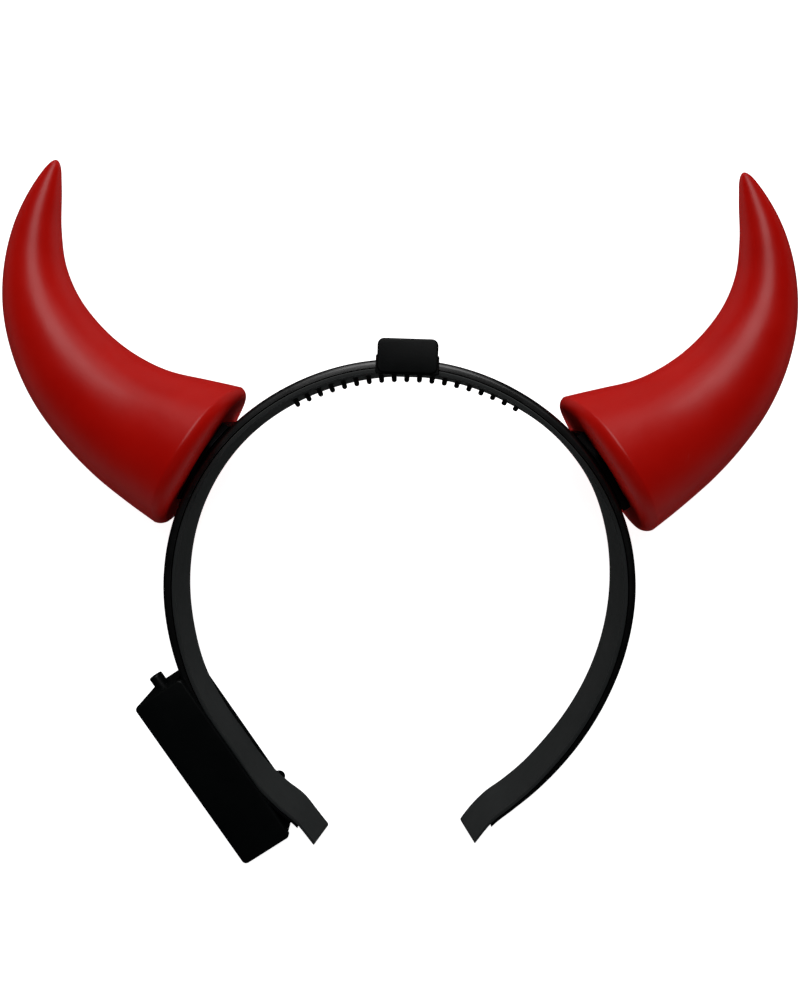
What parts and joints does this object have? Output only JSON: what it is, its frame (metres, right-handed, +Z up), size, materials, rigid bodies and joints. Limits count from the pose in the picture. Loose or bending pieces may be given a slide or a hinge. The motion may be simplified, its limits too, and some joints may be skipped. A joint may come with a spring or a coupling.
{
  "type": "devil horns headband",
  "caption": "Open plastic headband with hollow curved horns, a top housing, a comb of pegs inside and a battery case with a push button on one arm.",
  "frame": {"origin": "centre of the bounding box's base, on the surface that the headband lies on", "axes": "+X along the width from horn to horn, toward the picture's right; +Y in the lying plane toward the horns' tips; +Z up, toward the front of the headband"},
  "size_m": [0.2432, 0.2164, 0.0502],
  "materials": {
    "horn_red": "satin translucent red vinyl",
    "cover_plastic": "polished black",
    "strip_plastic": "satin black",
    "case_plastic": "fine grained black",
    "button_plastic": "smooth black"
  },
  "bodies": {
    "headband": {"inner_band": "strip_plastic", "outer_band": "cover_plastic", "top_housing": "case_plastic", "horn_left": "horn_red", "horn_right": "horn_red", "horn_mount_left": "cover_plastic", "horn_mount_right": "cover_plastic", "battery_case": "case_plastic", "battery_cover": "case_plastic"},
    "button": {"push_button": "button_plastic"}
  },
  "joints": [
    {"name": "button_press", "type": "slide", "parent": "headband", "child": "button", "axis": [0.565, -0.8207, -0.0853], "range_m": [0, 0.0012], "stiffness_N_per_m": 300}
  ]
}
